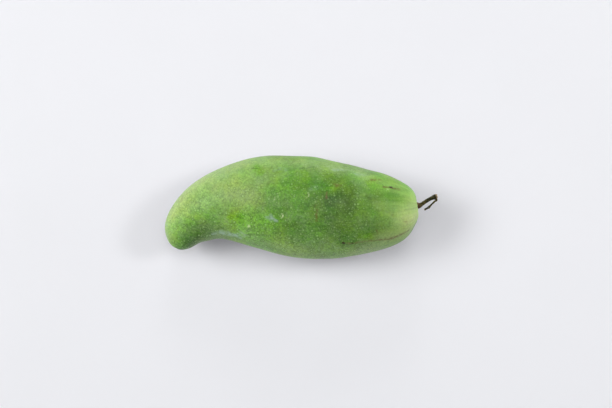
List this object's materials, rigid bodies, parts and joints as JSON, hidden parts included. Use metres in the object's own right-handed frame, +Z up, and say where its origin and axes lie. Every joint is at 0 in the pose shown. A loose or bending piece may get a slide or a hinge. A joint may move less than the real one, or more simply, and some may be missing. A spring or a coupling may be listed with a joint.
{
  "type": "mango",
  "caption": "Whole unripe green mango with a bent beak, a short woody stalk and a broken side twig, lying on a small flat spot.",
  "frame": {"origin": "middle of the flat spot that the fruit rests on, level with the surface it lies on", "axes": "+X from the beak to the stalk, along the fruit's length; +Y across it, to the side that the beak bends away from; +Z up"},
  "size_m": [0.1953, 0.0739, 0.0611],
  "materials": {
    "skin": null,
    "stalk_bark": "dull dark olive-brown bark with a browner foot and a pale torn end",
    "twig_bark": "dull dark olive-brown dried twig, broken at its end"
  },
  "bodies": {
    "root": {"fruit": "skin", "stalk": "stalk_bark", "side_twig": "twig_bark"}
  },
  "joints": []
}
